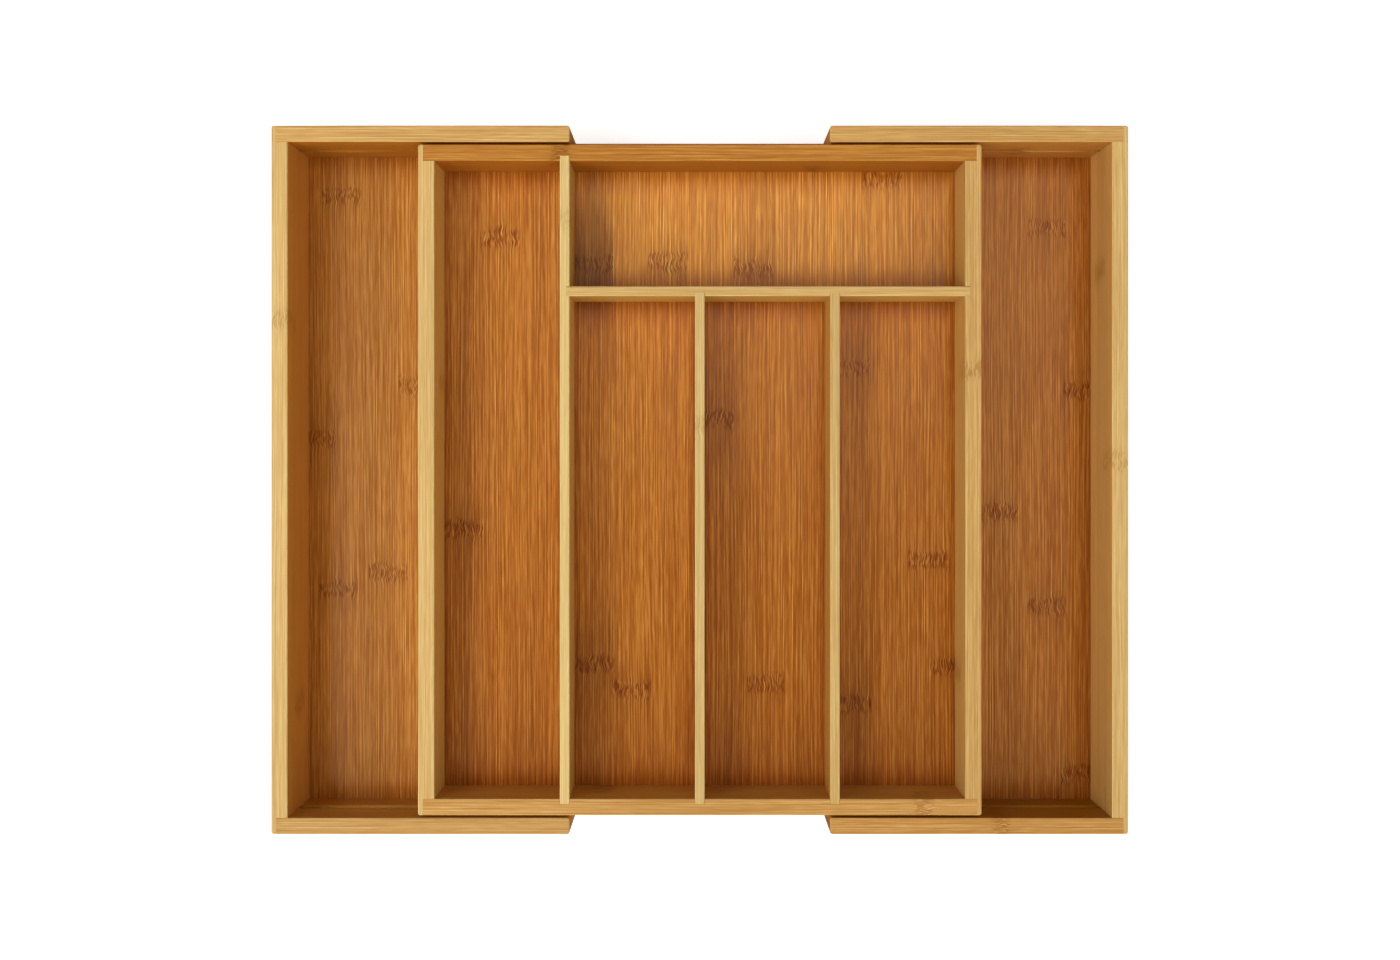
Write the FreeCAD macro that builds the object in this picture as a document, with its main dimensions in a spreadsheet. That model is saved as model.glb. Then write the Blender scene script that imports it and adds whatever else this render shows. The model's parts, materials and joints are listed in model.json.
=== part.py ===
# Expanding bamboo cutlery tray: a centre tray with five compartments, and a side tray that slides out at
# each end. Millimetres. +X is the right of the tray, +Y its back and +Z up. The origin is on the surface that
# the tray stands on, under its middle, with both side trays drawn out by pull_out.
import FreeCAD, Part
import os
import re

import Sketcher

# Driving sizes
SIZES = {
    # boards
    "wall_thickness": 10,
    "divider_thickness": 6,
    "floor_thickness": 5,
    "tray_height": 60,
    "tray_depth": 430,
    "centre_width": 342,
    "back_cell_depth": 76,
    # joints between boards
    "corner_lip": 3,
    "wall_housing": 3,
    "divider_housing": 2,
    "floor_groove": 4,
    "floor_edge_play": 0.2,
    # heights
    "floor_lift": 2,
    "under_gap": 1.5,
    "centre_floor_lift": 7,
    # slides
    "running_gap": 1.5,
    "runner_rise": 26.5,
    "runner_height": 7,
    "runner_seat": 3,
    "runner_reach": 4,
    "slot_depth": 4.5,
    "slot_play": 0.3,
    "closing_gap": 0.5,
    "meeting_gap": 1,
    "pull_out": 78.5,
    # rounded edges
    "edge_round": 0.8,
    "corner_round": 1.5,
}
COLUMNS = 4

# Sizes and places that follow from the driving sizes
SIDE_INNER_DEPTH = "(tray_depth - 2 * wall_thickness)"
SIDE_FLOOR_TOP = "(floor_lift + floor_thickness)"
SIDE_CLOSED = "(centre_width / 2 + closing_gap + wall_thickness)"
SIDE_LENGTH = f"({SIDE_CLOSED} - meeting_gap / 2)"
SIDE_OUTER = f"({SIDE_CLOSED} + pull_out)"
SIDE_FREE = f"({SIDE_OUTER} - {SIDE_LENGTH})"
CENTRE_DEPTH = f"({SIDE_INNER_DEPTH} - 2 * running_gap)"
CENTRE_BASE = f"({SIDE_FLOOR_TOP} + under_gap)"
CENTRE_HEIGHT = f"(tray_height - {CENTRE_BASE})"
CENTRE_INNER_WIDTH = "(centre_width - 2 * wall_thickness)"
CENTRE_INNER_DEPTH = f"({CENTRE_DEPTH} - 2 * wall_thickness)"
CELL_FLOOR = f"({CENTRE_BASE} + centre_floor_lift + floor_thickness)"
COLUMN_STEP = f"(({CENTRE_INNER_WIDTH} + divider_thickness) / {COLUMNS})"
CROSS_Y = f"({CENTRE_INNER_DEPTH} / 2 - back_cell_depth - divider_thickness / 2)"
RUNNER_WIDTH = "(runner_seat + running_gap + runner_reach)"

# A sketch's origin is its geometry -1, and a line's ends are its points 1 and 2
ORIGIN, START, END = -1, 1, 2
AXES = ("x", "y", "z")
# How far two places may differ and still count as the same
SAME_PLACE = 1e-6

document = FreeCAD.newDocument("cutlery_tray")
sheet = document.addObject("Spreadsheet::Sheet", "Sizes")
for row, (size_name, size) in enumerate(SIZES.items(), start=1):
    sheet.set(f"A{row}", size_name)
    sheet.set(f"B{row}", str(size))
    sheet.setAlias(f"B{row}", size_name)
document.recompute()


def formula(text):
    """The expression that reads the sheet, from a formula in the names of the driving sizes."""
    return re.sub(r"[a-z_]+", lambda name: f"Sizes.{name.group()}", text)


def measure(text):
    """The present value of a formula."""
    return float(sheet.evalExpression(formula(text)))


def span(low, high):
    """The middle and the length of the stretch between two places, as formulas."""
    return f"(({low} + {high}) / 2)", f"({high} - {low})"


def outline(body, name, plane, corners):
    """A closed outline on one of the body's own planes, each corner held by two distances from the origin."""
    sketch = body.newObject("Sketcher::SketchObject", name)
    support = next(feature for feature in body.Origin.OriginFeatures if feature.Role == plane)
    sketch.AttachmentSupport = (support, [""])
    sketch.MapMode = "FlatFace"
    points = [FreeCAD.Vector(measure(across), measure(along), 0) for across, along in corners]
    for start, end in zip(points, points[1:] + points[:1]):
        sketch.addGeometry(Part.LineSegment(start, end), False)
    for line in range(len(points)):
        following = (line + 1) % len(points)
        sketch.addConstraint(Sketcher.Constraint("Coincident", line, END, following, START))
    for line, corner in enumerate(corners):
        for kind, text in zip(("DistanceX", "DistanceY"), corner):
            held = sketch.addConstraint(Sketcher.Constraint(kind, ORIGIN, START, line, START, measure(text)))
            sketch.setExpression(f"Constraints[{held}]", formula(text))
    return sketch


def rectangle(low_across, low_along, high_across, high_along):
    """The corners of a rectangle."""
    return [
        (low_across, low_along),
        (high_across, low_along),
        (high_across, high_along),
        (low_across, high_along),
    ]


def board_plan(length, thickness, housings, rebate):
    """The plan of a board along X with its inner face at +Y.

    A housing is a middle, a width and a depth, cut in the inner face, and housings go from +X to -X. A
    rebate is a length and a depth, cut from the inner face at both ends.
    """
    outer = f"(-{thickness} / 2)"
    inner = f"({thickness} / 2)"
    low_end = f"(-{length} / 2)"
    high_end = f"({length} / 2)"
    corners = [(low_end, outer), (high_end, outer)]
    if rebate:
        cut, depth = rebate
        step = f"({inner} - {depth})"
        shoulder = f"({high_end} - {cut})"
        corners += [(high_end, step), (shoulder, step), (shoulder, inner)]
    else:
        corners += [(high_end, inner)]
    for middle, width, depth in housings:
        right = f"({middle} + {width} / 2)"
        left = f"({middle} - {width} / 2)"
        bottom = f"({inner} - {depth})"
        corners += [(right, inner), (right, bottom), (left, bottom), (left, inner)]
    if rebate:
        shoulder = f"({low_end} + {cut})"
        corners += [(shoulder, inner), (shoulder, step), (low_end, step)]
    else:
        corners += [(low_end, inner)]
    return corners


def board(name, corners, height, place, turn=0):
    """A board padded up from its plan, turned about Z in degrees and put in its place."""
    body = document.addObject("PartDesign::Body", name)
    body.Label = name
    plan = outline(body, f"{name}_plan", "XY_Plane", corners)
    blank = body.newObject("PartDesign::Pad", f"{name}_blank")
    blank.Profile = plan
    blank.setExpression("Length", formula(height))
    body.Placement = FreeCAD.Placement(FreeCAD.Vector(), FreeCAD.Rotation(FreeCAD.Vector(0, 0, 1), turn))
    for axis, text in zip(AXES, place):
        body.setExpression(f"Placement.Base.{axis}", formula(text))
    document.recompute()
    return body


def lies_at(points, axis, places):
    """Whether all the points lie at one of the places on an axis."""
    return any(all(abs(getattr(point, axis) - place) < SAME_PLACE for point in points) for place in places)


def edges_at(shape, **sides):
    """Names of the edges at the named ends (low, high or both) of two axes, which so run along the third."""
    box = shape.BoundBox
    ends = {
        "x": {"low": (box.XMin,), "high": (box.XMax,), "both": (box.XMin, box.XMax)},
        "y": {"low": (box.YMin,), "high": (box.YMax,), "both": (box.YMin, box.YMax)},
        "z": {"low": (box.ZMin,), "high": (box.ZMax,), "both": (box.ZMin, box.ZMax)},
    }
    names = []
    for number, edge in enumerate(shape.Edges, start=1):
        points = [vertex.Point for vertex in edge.Vertexes]
        if all(lies_at(points, axis, ends[axis][side]) for axis, side in sides.items()):
            names.append(f"Edge{number}")
    if not names:
        raise ValueError(f"no edge at {sides}")
    return names


def ease(body, name, radius, **sides):
    """Rounds the edges of a board at the named ends of two axes, and what runs on smoothly from them."""
    base = body.Tip
    fillet = body.newObject("PartDesign::Fillet", f"{body.Name}_{name}")
    fillet.Base = (base, edges_at(base.Shape, **sides))
    fillet.setExpression("Radius", formula(radius))
    document.recompute()


def groove(body, name, low_y, high_y, low_z, high_z):
    """A groove along the whole of a board, cut to the section given."""
    before = body.Shape.Volume
    corners = rectangle(low_y, low_z, high_y, high_z)
    section = outline(body, f"{body.Name}_{name}_section", "YZ_Plane", corners)
    cut = body.newObject("PartDesign::Pocket", f"{body.Name}_{name}")
    cut.Profile = section
    cut.Type = "ThroughAll"
    cut.SideType = "Symmetric"
    document.recompute()
    if body.Shape.Volume >= before:
        raise ValueError(f"{cut.Name} cut nothing")


def wall(name, length, height, place, turn, housings=(), rebate=None):
    """A wall along X with its inner face at +Y, before it is turned into its place."""
    return board(name, board_plan(length, "wall_thickness", housings, rebate), height, place, turn)


def floor_groove(body, lift):
    """The groove in a wall's inner face that takes the edge of a floor."""
    groove(
        body,
        "floor_groove",
        "(wall_thickness / 2 - floor_groove)",
        "(wall_thickness / 2)",
        lift,
        f"({lift} + floor_thickness)",
    )


CORNER_REBATE = ("wall_thickness", "(wall_thickness - corner_lip)")


def end_board(name, length, height, place, turn, lift, housings=()):
    """A wall across the tray, whose rebated ends cover the ends of the front and back walls."""
    body = wall(name, length, height, place, turn, housings, CORNER_REBATE)
    ease(body, "corners", "corner_round", x="both", y="low")
    ease(body, "edges", "edge_round", y="both", z="both")
    floor_groove(body, lift)


def side_wall(name, length, place, turn, free_end):
    """A side tray's front or back wall, with a slot for the runner that is open at the free end."""
    body = wall(name, length, "tray_height", place, turn)
    ease(body, "corners", "corner_round", x=free_end, y="both")
    ease(body, "edges", "edge_round", y="both", z="both")
    floor_groove(body, "floor_lift")
    groove(
        body,
        "slot",
        "(wall_thickness / 2 - slot_depth)",
        "(wall_thickness / 2)",
        "(runner_rise - slot_play)",
        "(runner_rise + runner_height + slot_play)",
    )


def side_tray(side, sign):
    """A side tray: an end wall, a front and a back wall, and a floor that is open towards the middle."""
    end_x = f"({sign} * ({SIDE_OUTER} - wall_thickness / 2))"
    end_board(f"{side}_end_wall", "tray_depth", "tray_height", (end_x, "0", "0"), sign * 90, "floor_lift")

    wall_x, wall_length = span(SIDE_FREE, f"({SIDE_OUTER} - corner_lip)")
    wall_y = "((tray_depth - wall_thickness) / 2)"
    towards_middle, away = ("low", "high") if sign > 0 else ("high", "low")
    for face, wall_sign, turn, free_end in (("front", -1, 0, towards_middle), ("back", 1, 180, away)):
        place = (f"({sign} * {wall_x})", f"({wall_sign} * {wall_y})", "0")
        side_wall(f"{side}_{face}_wall", wall_length, place, turn, free_end)

    floor_end = f"({SIDE_OUTER} - wall_thickness + floor_groove - floor_edge_play)"
    floor_x, floor_width = span(SIDE_FREE, floor_end)
    floor_depth = f"({SIDE_INNER_DEPTH} + 2 * (floor_groove - floor_edge_play))"
    plan = board_plan(floor_width, floor_depth, (), None)
    body = board(f"{side}_floor", plan, "floor_thickness", (f"({sign} * {floor_x})", "0", "floor_lift"))
    ease(body, "edge", "edge_round", x=towards_middle, z="both")


def centre_end_walls():
    """The centre tray's left and right walls. The right one takes the cross divider."""
    end_x = "((centre_width - wall_thickness) / 2)"
    housing = (CROSS_Y, "divider_thickness", "wall_housing")
    for side, sign, housings in (("left", -1, ()), ("right", 1, (housing,))):
        name = f"centre_{side}_wall"
        place = (f"({sign} * {end_x})", "0", CENTRE_BASE)
        end_board(name, CENTRE_DEPTH, CENTRE_HEIGHT, place, sign * 90, "centre_floor_lift", housings)


def centre_long_walls():
    """The centre tray's front and back walls, with a seat outside for the runner."""
    length = "(centre_width - 2 * corner_lip)"
    wall_y = f"(({CENTRE_DEPTH} - wall_thickness) / 2)"
    fit = ("divider_thickness", "wall_housing")
    front_housings = [(f"({count} * {COLUMN_STEP})", *fit) for count in (1, 0, -1)]
    back_housings = [(COLUMN_STEP, *fit)]
    for side, sign, turn, housings in (("front", -1, 0, front_housings), ("back", 1, 180, back_housings)):
        place = ("0", f"({sign} * {wall_y})", CENTRE_BASE)
        body = wall(f"centre_{side}_wall", length, CENTRE_HEIGHT, place, turn, housings)
        ease(body, "edges", "edge_round", y="both", z="both")
        floor_groove(body, "centre_floor_lift")
        seat_z = f"(runner_rise - {CENTRE_BASE})"
        groove(
            body,
            "runner_seat",
            "(-wall_thickness / 2)",
            "(-wall_thickness / 2 + runner_seat)",
            seat_z,
            f"({seat_z} + runner_height)",
        )


def centre_floor():
    """The centre tray's floor, let into its four walls."""
    width = f"({CENTRE_INNER_WIDTH} + 2 * (floor_groove - floor_edge_play))"
    depth = f"({CENTRE_INNER_DEPTH} + 2 * (floor_groove - floor_edge_play))"
    place = ("0", "0", f"({CENTRE_BASE} + centre_floor_lift)")
    board("centre_floor", board_plan(width, depth, (), None), "floor_thickness", place)


def divider(name, length, place, turn, housings=()):
    """A divider along X, housed for others in its +Y face, before it is turned into its place."""
    plan = board_plan(length, "divider_thickness", housings, None)
    body = board(name, plan, f"(tray_height - {CELL_FLOOR})", (*place, CELL_FLOOR), turn)
    ease(body, "edges", "edge_round", y="both", z="high")


def dividers():
    """The four dividers of the centre tray. Each is housed in what it meets."""
    fit = ("divider_thickness", "divider_housing")

    long_length = f"({CENTRE_INNER_DEPTH} + 2 * wall_housing)"
    divider("long_divider", long_length, (f"(-{COLUMN_STEP})", "0"), -90, [(f"(-{CROSS_Y})", *fit)])

    cross_x, cross_length = span(
        f"(-{COLUMN_STEP} + divider_thickness / 2 - divider_housing)",
        f"({CENTRE_INNER_WIDTH} / 2 + wall_housing)",
    )
    cross_housings = [(f"({cross_x} - {short_x})", *fit) for short_x in ("0", COLUMN_STEP)]
    divider("cross_divider", cross_length, (cross_x, CROSS_Y), 180, cross_housings)

    short_y, short_length = span(
        f"(-{CENTRE_INNER_DEPTH} / 2 - wall_housing)",
        f"({CROSS_Y} - divider_thickness / 2 + divider_housing)",
    )
    divider("left_short_divider", short_length, ("0", short_y), 90)
    divider("right_short_divider", short_length, (COLUMN_STEP, short_y), 90)


def runners():
    """The strips on the centre tray's front and back walls that slide in the side trays' slots."""
    plan = board_plan("(centre_width - 2 * corner_lip)", RUNNER_WIDTH, (), None)
    middle_y = f"({CENTRE_DEPTH} / 2 - runner_seat + {RUNNER_WIDTH} / 2)"
    for side, sign, tip in (("front", -1, "low"), ("back", 1, "high")):
        place = ("0", f"({sign} * {middle_y})", "runner_rise")
        body = board(f"{side}_runner", plan, "runner_height", place)
        ease(body, "edges", "edge_round", y=tip, z="both")


def check_and_write():
    """Stops if any object or shape is faulty, and otherwise writes each board to its own file."""
    for item in document.Objects:
        if "Invalid" in item.State or "Error" in item.State:
            raise ValueError(f"{item.Name} is {item.State}")
    bodies = [item for item in document.Objects if item.isDerivedFrom("PartDesign::Body")]
    for body in bodies:
        if body.Shape.isNull() or not body.Shape.isValid() or len(body.Shape.Solids) != 1:
            raise ValueError(f"{body.Label} isn't one valid solid")
    os.makedirs("parts", exist_ok=True)
    for body in bodies:
        body.Shape.exportStep(os.path.join("parts", f"{body.Label}.step"))


centre_end_walls()
centre_long_walls()
centre_floor()
dividers()
runners()
side_tray("left", -1)
side_tray("right", 1)
document.recompute()
check_and_write()
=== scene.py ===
import json
from collections import namedtuple

import bpy
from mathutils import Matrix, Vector

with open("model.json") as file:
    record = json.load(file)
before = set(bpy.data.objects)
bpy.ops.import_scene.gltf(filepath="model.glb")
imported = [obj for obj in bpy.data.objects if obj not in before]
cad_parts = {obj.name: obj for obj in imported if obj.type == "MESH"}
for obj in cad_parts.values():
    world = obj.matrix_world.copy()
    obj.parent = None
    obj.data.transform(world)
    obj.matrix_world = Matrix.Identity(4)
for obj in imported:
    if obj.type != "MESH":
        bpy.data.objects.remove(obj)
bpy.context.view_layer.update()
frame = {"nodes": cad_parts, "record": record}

# A millimetre, and a distance beyond every board, in metres.
MM = 0.001
FAR = 1.0

# A smooth change of one value with another: from low to high while the other goes from start to end.
Ramp = namedtuple("Ramp", "start end low high", defaults=(0.0, 1.0))


def tint(red, green, blue):
    """A colour for a shader, from the 0 to 255 that a screen shows, by the sRGB curve."""
    shares = [value / 255 for value in (red, green, blue)]
    linear = [((share + 0.055) / 1.055) ** 2.4 if share > 0.04045 else share / 12.92 for share in shares]
    return linear + [1.0]


WHITE = tint(255, 255, 255)


class Graph:
    """The nodes of a material or a world, with a short call for each kind that they need."""

    # The sockets of a colour mix that take its share and its two colours, and the one that gives the result.
    MIX_INPUTS = (0, 6, 7)
    MIX_OUTPUT = 2

    def __init__(self, owner):
        owner.use_nodes = True
        self.tree = owner.node_tree
        self.shader = self.tree.nodes.get("Principled BSDF")

    def node(self, kind, **settings):
        """A new node of the kind, with the settings."""
        node = self.tree.nodes.new("ShaderNode" + kind)
        for name, value in settings.items():
            setattr(node, name, value)
        return node

    def feed(self, socket, value):
        """Links the value to the socket if it comes from a node, and sets it there if it is plain."""
        if isinstance(value, bpy.types.NodeSocket):
            self.tree.links.new(value, socket)
        else:
            socket.default_value = value

    def run(self, node, values):
        """The node's first output, with the values fed to its inputs in their order."""
        for socket, value in zip(node.inputs, values):
            self.feed(socket, value)
        return node.outputs[0]

    def math(self, operation, *values):
        return self.run(self.node("Math", operation=operation), values)

    def vector(self, operation, *values):
        return self.run(self.node("VectorMath", operation=operation), values)

    def dot(self, first, second):
        node = self.node("VectorMath", operation="DOT_PRODUCT")
        self.run(node, (first, second))
        return node.outputs["Value"]

    def shift(self, place, direction, distance):
        """The place moved by the distance along the direction."""
        return self.vector("MULTIPLY_ADD", direction, self.combine(distance, distance, distance), place)

    def combine(self, *values):
        return self.run(self.node("CombineXYZ"), values)

    def separate(self, vector):
        node = self.node("SeparateXYZ")
        self.feed(node.inputs[0], vector)
        return list(node.outputs)

    def step(self, value, ramp):
        """What the ramp gives for the value."""
        return self.run(self.node("MapRange", interpolation_type="SMOOTHSTEP"), (value, *ramp))

    def noise(self, place, sizes, detail):
        """Cloudy noise from 0 to 1, whose patches have the given sizes in millimetres."""
        per_metre = [1 / (size * MM) for size in sizes]
        node = self.node("TexNoise")
        self.feed(node.inputs["Vector"], self.vector("MULTIPLY", place, per_metre))
        node.inputs["Scale"].default_value = 1.0
        node.inputs["Detail"].default_value = detail
        return node.outputs["Fac"]

    def sway(self, place, sizes, width, detail):
        """Cloudy noise in metres, about nothing, whose patches and whole width are given in millimetres."""
        cloud = self.math("SUBTRACT", self.noise(place, sizes, detail), 0.5)
        return self.math("MULTIPLY", cloud, width * MM)

    def chance(self, *numbers):
        """A random share that stays the same for the same numbers."""
        node = self.node("TexWhiteNoise", noise_dimensions="3D")
        self.feed(node.inputs["Vector"], self.combine(*numbers))
        return node.outputs["Value"]

    def mix(self, share, first, second, mode="MIX"):
        """The first colour with the share of the second mixed into it."""
        node = self.node("Mix", data_type="RGBA", blend_type=mode)
        for socket, value in zip(self.MIX_INPUTS, (share, first, second)):
            self.feed(node.inputs[socket], value)
        return node.outputs[self.MIX_OUTPUT]


# How a board lies: the axes across its strips, along its grain and through its thickness.
FLAT_ALONG_Y = "XYZ"
ON_EDGE_ALONG_Y = "ZYX"
ON_EDGE_ALONG_X = "ZXY"


def grain_place(graph, axes):
    """A point's place on the board and its normal: across the strips, along the grain, through the board."""
    coordinates = graph.node("TexCoord")
    parts = dict(zip("XYZ", graph.separate(coordinates.outputs["Object"])))
    normals = dict(zip("XYZ", graph.separate(coordinates.outputs["Normal"])))
    return graph.combine(*[parts[axis] for axis in axes]), [normals[axis] for axis in axes]


# A growth mark where the cane had a joint: its place across and along the strips and how far it darkens
# its strip, in millimetres, and how dark it makes it.
Mark = namedtuple("Mark", "across along reach depth_share")

# What the colour is multiplied by where a mark is as dark as can be.
SMOKE = tint(158, 148, 112)

# A mark's width, how softly it ends at its sides, and how far and in which patches it sways along the grain,
# in millimetres.
MARK_WIDTH = 26
MARK_EDGE = 0.6
MARK_SWAY = 10
MARK_PATCHES = (9, 30, 9)

# The short dense and pale strokes in a mark: how near to its middle they show, in metres, their sizes, in
# millimetres, and the stain that they add.
STROKES_NEAR = Ramp(7 * MM, 3 * MM)
STROKE_PATCHES = (0.6, 4.5, 0.6)
STROKE_STAIN = Ramp(0.42, 0.58, -0.12, 0.62)


def mark_fields(graph, place, marks):
    """How far a point is from the middle of its strip's mark, in metres, and how dark the mark makes it."""
    sway = graph.sway(place, MARK_PATCHES, MARK_SWAY, detail=1.0)
    swayed = graph.vector("ADD", place, graph.combine(0.0, sway, 0.0))
    beyond_side = Ramp((MARK_WIDTH / 2 - MARK_EDGE) * MM, (MARK_WIDTH / 2 + MARK_EDGE) * MM, 0.0, FAR)
    nearest = FAR
    smoke = 0.0
    for mark in marks:
        offset = graph.vector("SUBTRACT", swayed, (mark.across * MM, mark.along * MM, 0.0))
        across, along, _ = graph.separate(offset)
        outside = graph.step(graph.math("ABSOLUTE", across), beyond_side)
        distance = graph.math("ADD", graph.math("ABSOLUTE", along), outside)
        nearest = graph.math("MINIMUM", nearest, distance)
        cloud = graph.step(distance, Ramp(mark.reach * MM, 0.0, 0.0, mark.depth_share))
        smoke = graph.math("MAXIMUM", smoke, cloud)
    return nearest, smoke


def stroke_stain(graph, fibres_at, nearest):
    """The stain of the strokes in a growth mark."""
    cloud = graph.noise(fibres_at, STROKE_PATCHES, detail=0.0)
    return graph.math("MULTIPLY", graph.step(nearest, STROKES_NEAR), graph.step(cloud, STROKE_STAIN))


# The fibres: their width, the lengths of the long and the short ones, how far they wander along a board and
# swirl at a growth mark, and the patches in which they do so, in millimetres.
FIBRE_WIDTH = 0.7
LONG_FIBRE = 45
SHORT_FIBRE = 8
WANDER = 3
WANDER_PATCHES = (60, 180, 60)
SWIRL = 3
SWIRL_PATCHES = (8, 6, 8)

# How near to a growth mark's middle the fibres swirl, in metres.
SWIRL_NEAR = Ramp(10 * MM, 3 * MM)

# What a whole unit of stain multiplies the colour by. The long and the short fibre and the long one beside
# them add to the stain by their weights, and the level brings their mean to about nothing.
STAIN = tint(199, 171, 132)
LONG_WEIGHT = 0.75
SHORT_WEIGHT = 0.37
BESIDE_WEIGHT = -0.25
FIBRE_LEVEL = -0.43

# What sets each board's fibres apart from the other boards', in metres, and the number for the draw of where
# a fibre starts.
SEED_STEPS = (0.37, 0.71, 0.53)
START_DRAW = 0.5


def side_by_side(graph, facing):
    """The direction in which fibres lie side by side: across a broad face, and through a board's edge."""
    edge_on, _, through = facing
    broad_face = graph.math("GREATER_THAN", through, edge_on)
    return graph.combine(broad_face, 0.0, graph.math("SUBTRACT", 1.0, broad_face))


def fibre_place(graph, place, sideways, nearest, seed):
    """Where a point lies among the fibres, which wander along the board and bend round its growth marks."""
    seeded = graph.vector("ADD", place, [seed * step for step in SEED_STEPS])
    wander = graph.sway(seeded, WANDER_PATCHES, WANDER, detail=1.0)
    swirl = graph.sway(seeded, SWIRL_PATCHES, SWIRL, detail=0.0)
    bend = graph.math("ADD", wander, graph.math("MULTIPLY", swirl, graph.step(nearest, SWIRL_NEAR)))
    return graph.shift(seeded, sideways, bend)


def fibre_field(graph, place, length):
    """A random share for each thin fibre, which changes along it over the given length in millimetres."""
    sizes = [size * MM for size in (FIBRE_WIDTH, length, FIBRE_WIDTH)]
    across, along, through = graph.separate(graph.vector("DIVIDE", place, sizes))
    column = graph.math("FLOOR", across)
    layer = graph.math("FLOOR", through)
    along = graph.math("ADD", along, graph.chance(column, layer, START_DRAW))
    piece = graph.math("FLOOR", along)
    here = graph.chance(column, layer, piece)
    there = graph.chance(column, layer, graph.math("ADD", piece, 1.0))
    share = graph.step(graph.math("FRACT", along), Ramp(0.0, 1.0))
    return graph.math("MULTIPLY_ADD", graph.math("SUBTRACT", there, here), share, here)


def fibre_stain(graph, fibres_at, sideways):
    """How much more stain than the mean a point's fibres hold."""
    beside = graph.shift(fibres_at, sideways, FIBRE_WIDTH * MM)
    stain = graph.math("MULTIPLY_ADD", fibre_field(graph, beside, LONG_FIBRE), BESIDE_WEIGHT, FIBRE_LEVEL)
    for length, weight in ((LONG_FIBRE, LONG_WEIGHT), (SHORT_FIBRE, SHORT_WEIGHT)):
        stain = graph.math("MULTIPLY_ADD", fibre_field(graph, fibres_at, length), weight, stain)
    return stain


# Painted light on a floor, laid on as stain: the compartments along whose walls it paints shade, how far that
# shade reaches from them across the grain, in millimetres, how fast a painted shade that darkens the front
# fades out towards the back, per metre, and where a paler corner of painted sheen begins, in millimetres.
FloorPaintedLight = namedtuple("FloorPaintedLight", "cells pool_across thinning pale_corner")
# How far the painted shade along the walls reaches along the grain, in millimetres, the share of that past a
# compartment's edge where it is darkest, and the stain it adds; how softly the painted sheen begins, in
# millimetres, and the stain it takes away.
WALL_SHADE_REACH = 18
WALL_SHADE_BEYOND_SHARE = 0.2
WALL_SHADE_DEPTH = 0.6
SHEEN_BLEND = 5
SHEEN_STAIN = -0.3

# The compartments over the floors. A side floor runs on under the centre tray to the other side floor.
OPENINGS = {opening["name"]: opening["box_m"] for opening in frame["record"]["physics"]["openings"]}
CENTRE_CELLS = [box for name, box in OPENINGS.items() if "side" not in name]
SIDE_CELLS = [(OPENINGS["left_side_compartment"][0], OPENINGS["right_side_compartment"][1])]
# The painted shade and painted sheen of each floor.
FLOOR_PAINTED_LIGHT = {
    "centre_floor": FloorPaintedLight(CENTRE_CELLS, 5, 1.0, (-82, 114)),
    "left_floor": FloorPaintedLight(SIDE_CELLS, 14, 0.3, None),
    "right_floor": FloorPaintedLight(SIDE_CELLS, 12, 0.3, None),
}


def painted_floor_light(graph, place, floor):
    """The painted shade that darkens a floor along its walls and towards its front, as stain, less the
    painted sheen of its pale corner.
    """
    nearest = -FAR
    for low, high in floor.cells:
        middle = [(start + end) / 2 for start, end in zip(low, high)]
        half = [(end - start) / 2 for start, end in zip(low, high)]
        aside = graph.vector("ABSOLUTE", graph.vector("SUBTRACT", place, middle))
        across, along, _ = graph.separate(graph.vector("SUBTRACT", half, aside))
        inset = graph.math("MINIMUM", graph.math("MULTIPLY", across, WALL_SHADE_REACH / floor.pool_across), along)
        nearest = graph.math("MAXIMUM", nearest, inset)
    # Painted shade along the walls, and a painted shade that darkens the floor towards its front.
    wall_shade = Ramp(WALL_SHADE_REACH * MM, -WALL_SHADE_BEYOND_SHARE * WALL_SHADE_REACH * MM, 0.0, WALL_SHADE_DEPTH)
    parts = graph.separate(place)
    stain = graph.math("MULTIPLY_ADD", parts[1], -floor.thinning, graph.step(nearest, wall_shade))
    # A painted sheen makes one corner of the floor paler.
    if floor.pale_corner:
        beyond = [graph.step(part, Ramp(start * MM, (start + SHEEN_BLEND) * MM))
                  for part, start in zip(parts, floor.pale_corner)]
        stain = graph.math("MULTIPLY_ADD", graph.math("MULTIPLY", *beyond), SHEEN_STAIN, stain)
    return stain


# The stain that is taken off where the surface is rounded: partly wear and partly a painted highlight along
# the edges.
EDGE_WEAR_AND_HIGHLIGHT = Ramp(0.99, 0.8, 0.0, -0.2)


def edge_wear_and_highlight(graph, facing):
    """The stain lost at rounded edges, where the surface faces no axis squarely: wear, and a painted
    highlight.
    """
    edge_on, end, through = facing
    flattest = graph.math("MAXIMUM", graph.math("MAXIMUM", edge_on, through), end)
    return graph.step(flattest, EDGE_WEAR_AND_HIGHLIGHT)


# The glued strips: their width, in millimetres, their shades and their redness, and the sizes and shades of
# broad bands of fibres in them.
STRIP_WIDTH = 24
STRIP_SHADE = Ramp(0.0, 1.0, 0.94, 1.04)
STRIP_REDNESS = Ramp(0.0, 1.0, 0.0, 0.12)
RED_STRIP = tint(244, 210, 176)
BAND_PATCHES = (16, 220, 16)
BAND_SHADE = Ramp(0.3, 0.7, -0.03, 0.03)

# Numbers that keep the draws of a strip's shade and of its redness apart.
SHADE_DRAW = 0.5
REDNESS_DRAW = 40.5


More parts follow.
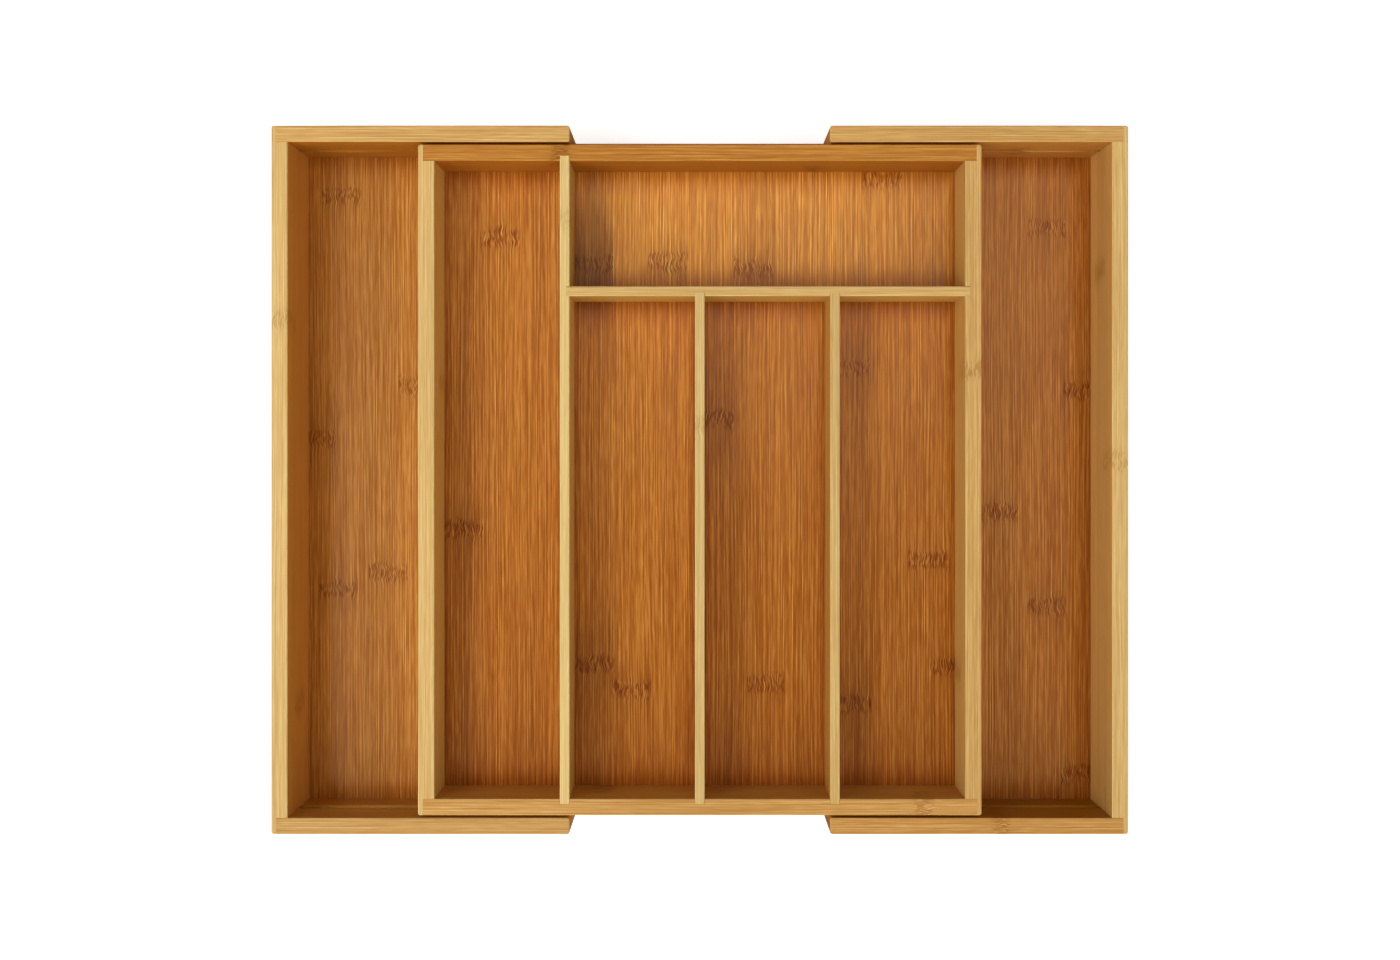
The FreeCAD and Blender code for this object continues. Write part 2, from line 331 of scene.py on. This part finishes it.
def shade_strips(graph, colour, place, fibres_at, seed):
    """The colour with a shade and a redness for each strip, and a shade for each broad band of fibres."""
    across = graph.separate(place)[0]
    strip = graph.math("FLOOR", graph.math("DIVIDE", across, STRIP_WIDTH * MM))
    tone = graph.chance(graph.math("ADD", strip, seed + SHADE_DRAW))
    hue = graph.chance(graph.math("ADD", strip, seed + REDNESS_DRAW))
    band = graph.noise(fibres_at, BAND_PATCHES, detail=1.0)
    shade = graph.math("ADD", graph.step(tone, STRIP_SHADE), graph.step(band, BAND_SHADE))
    colour = graph.mix(1.0, colour, graph.combine(shade, shade, shade), "MULTIPLY")
    return graph.mix(graph.step(hue, STRIP_REDNESS), colour, RED_STRIP, "MULTIPLY")


# Where a surface counts as a broad face or as an end across the grain, from its normal, and as a slot below
# the rim, from its height in metres. In a slot the face tint is painted shade.
BROAD_FACE_FACING = Ramp(0.6, 0.95)
END_FACING = Ramp(0.7, 1.0)
SLOT_SHADE_BELOW_RIM = Ramp(58 * MM, 56 * MM)

# What the colour is multiplied by on an end.
END_GRAIN = tint(215, 215, 200)


def tint_faces(graph, colour, kind, place, normal):
    """The colour with the inner or the outer face's tint on broad faces and in slots below the rim; a wall's
    inner tint is painted light and shade.
    """
    across, _, depth = graph.separate(place)
    outward = graph.math("MULTIPLY", depth, normal[2])
    face = graph.mix(graph.math("GREATER_THAN", outward, 0.0), kind.inside, kind.outside)
    broad = graph.step(graph.math("ABSOLUTE", normal[2]), BROAD_FACE_FACING)
    # Below the rim every face takes the face tint, which is painted shade in the slots.
    faced = graph.math("MAXIMUM", broad, graph.step(across, SLOT_SHADE_BELOW_RIM))
    return graph.mix(faced, colour, face, "MULTIPLY")


# The lacquer: how much rougher it is over pale fibres and over dark ones, its shine, and the relief of the
# fibres, in millimetres.
PALE_FIBRE = -0.2
DARK_FIBRE = 0.2
PALE_ROUGHER = 0.08
DARK_ROUGHER = -0.04
LACQUER_SHINE = 0.15
RELIEF_STRENGTH = 0.15
RELIEF_HEIGHT = 0.15


def lacquer(graph, colour, fibre, bare, roughness):
    """A thin lacquer over the fibres, rougher on pale ones and missing on bare ends."""
    shader = graph.shader
    gloss = Ramp(PALE_FIBRE, DARK_FIBRE, roughness + PALE_ROUGHER, roughness + DARK_ROUGHER)
    graph.feed(shader.inputs["Base Color"], colour)
    graph.feed(shader.inputs["Roughness"], graph.math("MAXIMUM", graph.step(fibre, gloss), bare))
    shader.inputs["Specular IOR Level"].default_value = LACQUER_SHINE
    bump = graph.node("Bump")
    bump.inputs["Strength"].default_value = RELIEF_STRENGTH
    bump.inputs["Distance"].default_value = RELIEF_HEIGHT * MM
    graph.feed(bump.inputs["Height"], fibre)
    graph.feed(shader.inputs["Normal"], bump.outputs["Normal"])


# A kind of bamboo: its mean colour, how far its fibres differ, what the colour is multiplied by on its broad
# faces towards the middle of the tray, which on walls is painted light and shade, and away from it, and how
# rough it is.
Bamboo = namedtuple("Bamboo", "colour spread inside outside roughness")

# A board: its bamboo, how it lies, and its growth marks.
Board = namedtuple("Board", "kind axes marks")


def bamboo(name, board, seed, floor=None):
    """Lacquered bamboo: glued strips of stained fibres, growth marks, edges paler from wear and painted
    highlight, bare ends.
    """
    kind = board.kind
    material = bpy.data.materials.new(name)
    graph = Graph(material)
    place, normal = grain_place(graph, board.axes)
    facing = [graph.math("ABSOLUTE", part) for part in normal]
    nearest, smoke = mark_fields(graph, place, board.marks)
    sideways = side_by_side(graph, facing)
    fibres_at = fibre_place(graph, place, sideways, nearest, seed)
    fibre = fibre_stain(graph, fibres_at, sideways)
    dense = graph.math("ADD", fibre, stroke_stain(graph, fibres_at, nearest))
    stain = graph.math("MULTIPLY_ADD", dense, kind.spread, edge_wear_and_highlight(graph, facing))
    # On a floor, painted shade along the walls and towards the front, and a painted sheen in one corner, go
    # into the stain.
    if floor:
        stain = graph.math("ADD", stain, painted_floor_light(graph, place, floor))
    colour = graph.mix(1.0, kind.colour, graph.run(graph.node("Gamma"), (STAIN, stain)), "MULTIPLY")
    colour = shade_strips(graph, colour, place, fibres_at, seed)
    colour = graph.mix(smoke, colour, SMOKE, "MULTIPLY")
    colour = tint_faces(graph, colour, kind, place, normal)
    bare = graph.step(facing[1], END_FACING)
    colour = graph.mix(bare, colour, END_GRAIN, "MULTIPLY")
    lacquer(graph, colour, fibre, bare, kind.roughness)
    return material


# What a wall's colour is multiplied by on its broad faces, where it has no tint of its own.
BROAD_FACE = tint(243, 225, 178)

# The tray's kinds of bamboo. The walls lie between the palest and the brownest.
PALE_WALL = Bamboo(tint(221, 190, 122), 0.35, WHITE, WHITE, 0.40)
BROWN_WALL = Bamboo(tint(191, 127, 48), 0.9, WHITE, WHITE, 0.40)
CENTRE_FLOOR = Bamboo(tint(183, 112, 36), 1.4, WHITE, WHITE, 0.22)
LEFT_FLOOR = Bamboo(tint(190, 125, 47), 1.2, WHITE, WHITE, 0.22)
RIGHT_FLOOR = Bamboo(tint(183, 115, 42), 1.3, WHITE, WHITE, 0.22)
# The runners are a darker brown as painted shade for the narrow gaps they sit in.
RUNNER_WITH_GAP_SHADE = Bamboo(tint(150, 92, 36), 0.7, WHITE, WHITE, 0.62)


def wall(brown_share, inside=BROAD_FACE):
    """The bamboo of a wall, with the tint of its inner face, which paints the light and shade on that face.
    """
    def between(pale, brown):
        return pale + (brown - pale) * brown_share
    colour = [between(*parts) for parts in zip(PALE_WALL.colour, BROWN_WALL.colour)]
    spread = between(PALE_WALL.spread, BROWN_WALL.spread)
    return Bamboo(colour, spread, inside, BROAD_FACE, PALE_WALL.roughness)


# The growth marks on the walls' tops and on their broad faces.
RIM_MARK_HEIGHT = 50
RIM_MARK_REACH = 12
RIM_MARK_SHARE = 0.06
DARK_RIM_MARK_SHARE = 0.25
FACE_MARK_HEIGHT = 30
LOW_FACE_MARK_HEIGHT = 10
FACE_MARK_REACH = 15
FACE_MARK_SHARE = 0.18


def rim_mark(along, depth_share=RIM_MARK_SHARE):
    """A growth mark that shows on a wall's top."""
    return Mark(RIM_MARK_HEIGHT, along, RIM_MARK_REACH, depth_share)


def face_mark(along, height=FACE_MARK_HEIGHT):
    """A growth mark on a wall's broad faces."""
    return Mark(height, along, FACE_MARK_REACH, FACE_MARK_SHARE)


# The growth marks on the floors.
CENTRE_FLOOR_MARKS = [
    Mark(-126, 152, 22, 0.12), Mark(-149, -32, 26, 0.21), Mark(-67, 135, 60, 0.6), Mark(-20, 136, 26, 0.27),
    Mark(34, 132, 22, 0.24), Mark(-66, -117, 60, 0.3), Mark(-43, -132, 24, 0.21), Mark(9, 37, 70, 0.27),
    Mark(41, -129, 20, 0.15), Mark(95, 71, 40, 0.18), Mark(96, -142, 40, 0.24), Mark(144, -52, 20, 0.15),
    Mark(115, 188, 24, 0.12), Mark(158, -118, 20, 0.12),
]
LEFT_FLOOR_MARKS = [
    Mark(-229, 181, 26, 0.12), Mark(-245, 26, 40, 0.18), Mark(-231, -71, 24, 0.15), Mark(-199, -61, 22, 0.12),
    Mark(-180, 59, 20, 0.12),
]
RIGHT_FLOOR_MARKS = [
    Mark(222, 160, 30, 0.12), Mark(191, -22, 26, 0.15), Mark(222, -83, 24, 0.15), Mark(245, 56, 30, 0.15),
    Mark(243, -190, 24, 0.15),
]

# The boards. Their order gives each one the number that its fibres and strips are drawn from.
# A wall's second colour tints its inner faces as painted light and shade.
BOARDS = {
    "left_end_wall": Board(
        wall(0.29, tint(250, 213, 152)), ON_EDGE_ALONG_Y, [rim_mark(97), face_mark(-140)]),
    "left_front_wall": Board(
        wall(0.56, tint(243, 225, 172)), ON_EDGE_ALONG_X, [face_mark(-150)]),
    "left_back_wall": Board(
        wall(0.53, tint(224, 185, 99)), ON_EDGE_ALONG_X, [face_mark(-120, LOW_FACE_MARK_HEIGHT)]),
    "left_floor": Board(LEFT_FLOOR, FLAT_ALONG_Y, LEFT_FLOOR_MARKS),
    "right_end_wall": Board(
        wall(0.26, tint(253, 236, 212)), ON_EDGE_ALONG_Y, [rim_mark(12), face_mark(130)]),
    "right_front_wall": Board(
        wall(0.72, tint(211, 190, 89)), ON_EDGE_ALONG_X, [rim_mark(182), face_mark(110)]),
    "right_back_wall": Board(
        wall(0.6, tint(246, 222, 177)), ON_EDGE_ALONG_X, [face_mark(200)]),
    "right_floor": Board(RIGHT_FLOOR, FLAT_ALONG_Y, RIGHT_FLOOR_MARKS),
    "centre_left_wall": Board(
        wall(0.28, tint(255, 243, 203)), ON_EDGE_ALONG_Y, [face_mark(60)]),
    "centre_right_wall": Board(
        wall(0.5, tint(255, 255, 234)), ON_EDGE_ALONG_Y, [rim_mark(67), face_mark(-120)]),
    "centre_front_wall": Board(
        wall(0.68, tint(253, 247, 213)), ON_EDGE_ALONG_X, [rim_mark(137), face_mark(-60)]),
    "centre_back_wall": Board(
        wall(1.0, tint(238, 223, 178)), ON_EDGE_ALONG_X, [rim_mark(-85, DARK_RIM_MARK_SHARE), face_mark(70)]),
    "centre_floor": Board(CENTRE_FLOOR, FLAT_ALONG_Y, CENTRE_FLOOR_MARKS),
    "long_divider": Board(wall(0.0), ON_EDGE_ALONG_Y, [rim_mark(158)]),
    "cross_divider": Board(wall(0.28, tint(255, 246, 205)), ON_EDGE_ALONG_X, []),
    "left_short_divider": Board(wall(0.1), ON_EDGE_ALONG_Y, [rim_mark(34)]),
    "right_short_divider": Board(wall(0.3), ON_EDGE_ALONG_Y, []),
    "front_runner": Board(RUNNER_WITH_GAP_SHADE, ON_EDGE_ALONG_X, []),
    "back_runner": Board(RUNNER_WITH_GAP_SHADE, ON_EDGE_ALONG_X, []),
}


def dress_boards():
    """Gives each board a bamboo of its own."""
    for seed, (node, board) in enumerate(BOARDS.items(), start=1):
        materials = frame["nodes"][node].data.materials
        materials.clear()
        materials.append(bamboo(node + "_bamboo", board, seed, FLOOR_PAINTED_LIGHT.get(node)))


# The floor under the tray: half its width, in metres, its speckles' sizes, in millimetres, their two shades,
# and its finish.
FLOOR_HALF_WIDTH = 6.0
SPECKLE_PATCHES = (3, 3, 3)
DARK_SPECKLE = tint(226, 226, 226)
PALE_SPECKLE = tint(232, 232, 232)
FLOOR_ROUGHNESS = 0.9
FLOOR_SHINE = 0.1
FLOOR_GLOW = 0.6


def floor_paint():
    """A pale speckled paint, which glows a little so that the shadow round the tray stays faint."""
    paint = bpy.data.materials.new("floor_paint")
    graph = Graph(paint)
    speckle = graph.noise(graph.node("TexCoord").outputs["Object"], SPECKLE_PATCHES, detail=2.0)
    inputs = graph.shader.inputs
    graph.feed(inputs["Base Color"], graph.mix(speckle, DARK_SPECKLE, PALE_SPECKLE))
    inputs["Roughness"].default_value = FLOOR_ROUGHNESS
    inputs["Specular IOR Level"].default_value = FLOOR_SHINE
    inputs["Emission Color"].default_value = WHITE
    inputs["Emission Strength"].default_value = FLOOR_GLOW
    return paint


def make_floor():
    """A wide flat floor."""
    half = FLOOR_HALF_WIDTH
    mesh = bpy.data.meshes.new("floor")
    corners = [(-half, -half, 0), (half, -half, 0), (half, half, 0), (-half, half, 0)]
    mesh.from_pydata(corners, [], [(0, 1, 2, 3)])
    mesh.materials.append(floor_paint())
    floor = bpy.data.objects.new("floor", mesh)
    bpy.context.scene.collection.objects.link(floor)


# The light of the white room. Each part has a direction, and a strength that changes with the cosine of the
# angle from it.
RoomLight = namedtuple("RoomLight", "direction strength")
UP = (0.0, 0.0, 1.0)
WINDOW = RoomLight((-0.10, -0.87, 0.48), Ramp(0.4, 1.0, 0.1, 1.15))
OVERHEAD = RoomLight(UP, Ramp(0.93, 0.98, 0.0, 0.3))
OVERHEAD_SHADE = RoomLight((0.10, -0.16, 0.98), Ramp(0.951, 0.994, 1.0, 0.0))
CEILING = RoomLight((0.079, 0.138, 0.987), Ramp(0.978, 0.996, 0.0, 2.4))
HORIZON = RoomLight(UP, Ramp(0.1, 0.0, 0.0, 0.9))

# The soft boxes beside the tray: their places and their width, in metres, and their power, in watts.
Lamp = namedtuple("Lamp", "place power")
LAMPS = {
    "left_lamp": Lamp((-1.0, -0.05, 1.3), 14.5),
    "right_lamp": Lamp((1.0, -0.05, 1.3), 6.4),
}
LAMP_WIDTH = 0.9


def make_world():
    """A white room, brighter in front, overhead and along the horizon."""
    world = bpy.data.worlds.new("room")
    graph = Graph(world)
    direction = graph.node("TexCoord").outputs["Generated"]

    def strength_of(light):
        return graph.step(graph.dot(direction, light.direction), light.strength)

    overhead = graph.math("MULTIPLY", strength_of(OVERHEAD), strength_of(OVERHEAD_SHADE))
    strength = graph.math("ADD", strength_of(WINDOW), overhead)
    for light in (CEILING, HORIZON):
        strength = graph.math("ADD", strength, strength_of(light))
    background = world.node_tree.nodes["Background"]
    background.inputs["Color"].default_value = WHITE
    graph.feed(background.inputs["Strength"], strength)
    bpy.context.scene.world = world


def make_lamps():
    """Soft boxes that face the tray."""
    for name, (place, power) in LAMPS.items():
        data = bpy.data.lights.new(name, "AREA")
        data.size = LAMP_WIDTH
        data.energy = power
        lamp = bpy.data.objects.new(name, data)
        lamp.location = place
        lamp.rotation_euler = (-Vector(place)).to_track_quat("-Z", "Y").to_euler()
        lamp.visible_camera = False
        bpy.context.scene.collection.objects.link(lamp)


# The picture that the camera matches, in pixels: its size, where the camera's axis meets it, and the focal
# length that fits the tray's edges in it.
IMAGE_WIDTH_PX = 1400
IMAGE_HEIGHT_PX = 960
AXIS_AT_PX = (696.0, 446.1)
FOCAL_PX = 1610.2

# The camera's sensor, in millimetres, and its place, in metres.
SENSOR_WIDTH_MM = 36
CAMERA_PLACE = (-0.0023, 0.0205, 1.0364)


def make_camera():
    """A camera straight above the tray, as far up and off centre as the picture's edges show."""
    data = bpy.data.cameras.new("camera")
    data.sensor_fit = "HORIZONTAL"
    data.sensor_width = SENSOR_WIDTH_MM
    data.lens = FOCAL_PX * SENSOR_WIDTH_MM / IMAGE_WIDTH_PX
    data.shift_x = (IMAGE_WIDTH_PX / 2 - AXIS_AT_PX[0]) / IMAGE_WIDTH_PX
    data.shift_y = (AXIS_AT_PX[1] - IMAGE_HEIGHT_PX / 2) / IMAGE_WIDTH_PX
    camera = bpy.data.objects.new("camera", data)
    camera.location = CAMERA_PLACE
    bpy.context.scene.collection.objects.link(camera)
    bpy.context.scene.camera = camera


dress_boards()
make_floor()
make_world()
make_lamps()
make_camera()
bpy.context.scene.view_settings.view_transform = "Standard"
